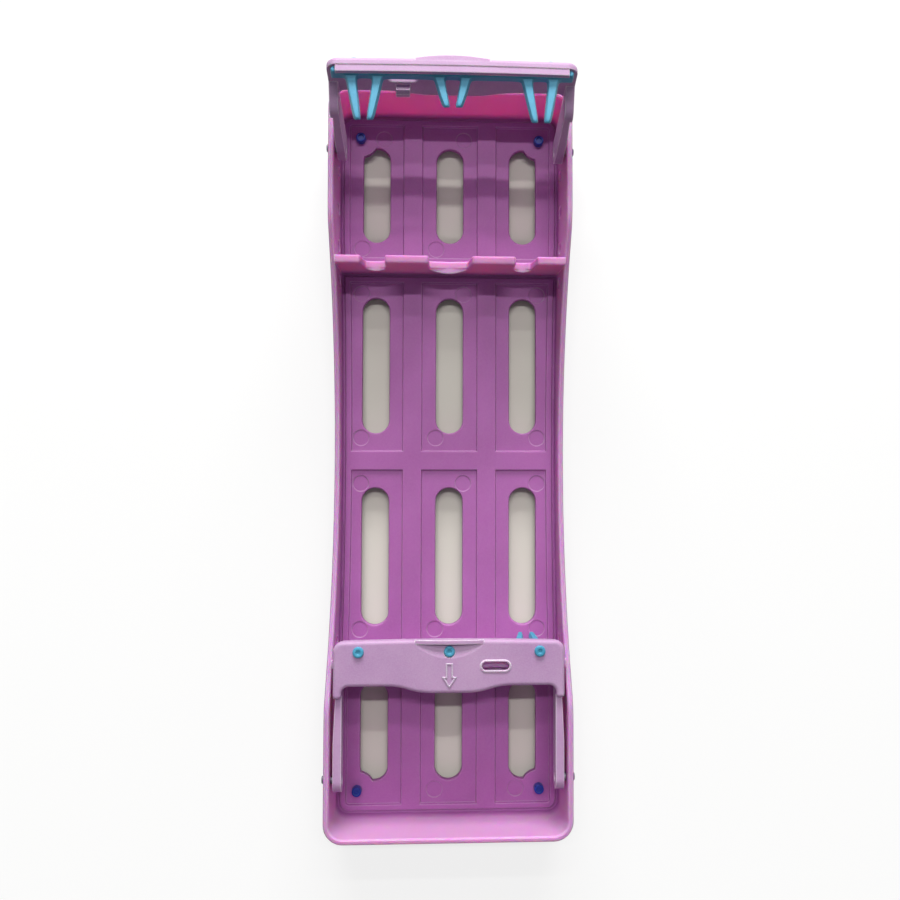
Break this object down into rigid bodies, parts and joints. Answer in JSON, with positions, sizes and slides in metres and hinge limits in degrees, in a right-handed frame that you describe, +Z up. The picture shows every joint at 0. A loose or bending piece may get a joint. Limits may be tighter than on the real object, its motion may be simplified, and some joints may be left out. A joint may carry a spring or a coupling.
{
  "type": "dental instrument sterilising tray",
  "caption": "Open waisted plastic tray with slotted ribbed floor, notched partitions and two hinged hold-down brackets with soft finger strips, on soft feet.",
  "frame": {"origin": "on the surface the tray stands on, under the middle of the tray", "axes": "+X across the tray to the right, +Y along the tray from the closed bracket to the open one, +Z up"},
  "size_m": [0.069, 0.205, 0.0565],
  "materials": {
    "tray_plastic": "satin moulded, slightly translucent violet",
    "bracket_plastic": "satin moulded, pale lilac",
    "strip_silicone": "soft cyan silicone",
    "foot_silicone": "soft royal blue silicone",
    "pin_steel": "dull steel"
  },
  "bodies": {
    "tray": {"tray": "tray_plastic", "front_left_foot": "foot_silicone", "front_left_pin": "pin_steel", "front_right_foot": "foot_silicone", "front_right_pin": "pin_steel", "rear_left_foot": "foot_silicone", "rear_left_pin": "pin_steel", "rear_right_foot": "foot_silicone", "rear_right_pin": "pin_steel"},
    "front_bracket": {"front_bracket": "bracket_plastic", "front_finger_strip": "strip_silicone"},
    "rear_bracket": {"rear_bracket": "bracket_plastic", "rear_finger_strip": "strip_silicone"}
  },
  "joints": [
    {"name": "front_bracket_hinge", "type": "hinge", "parent": "tray", "child": "front_bracket", "pos_m": [0, -0.08665, 0.0195], "axis": [1, 0, 0], "range_deg": [0, 101.5]},
    {"name": "rear_bracket_hinge", "type": "hinge", "parent": "tray", "child": "rear_bracket", "pos_m": [0, 0.08665, 0.0195], "axis": [1, 0, 0], "range_deg": [0, 101.5]}
  ]
}
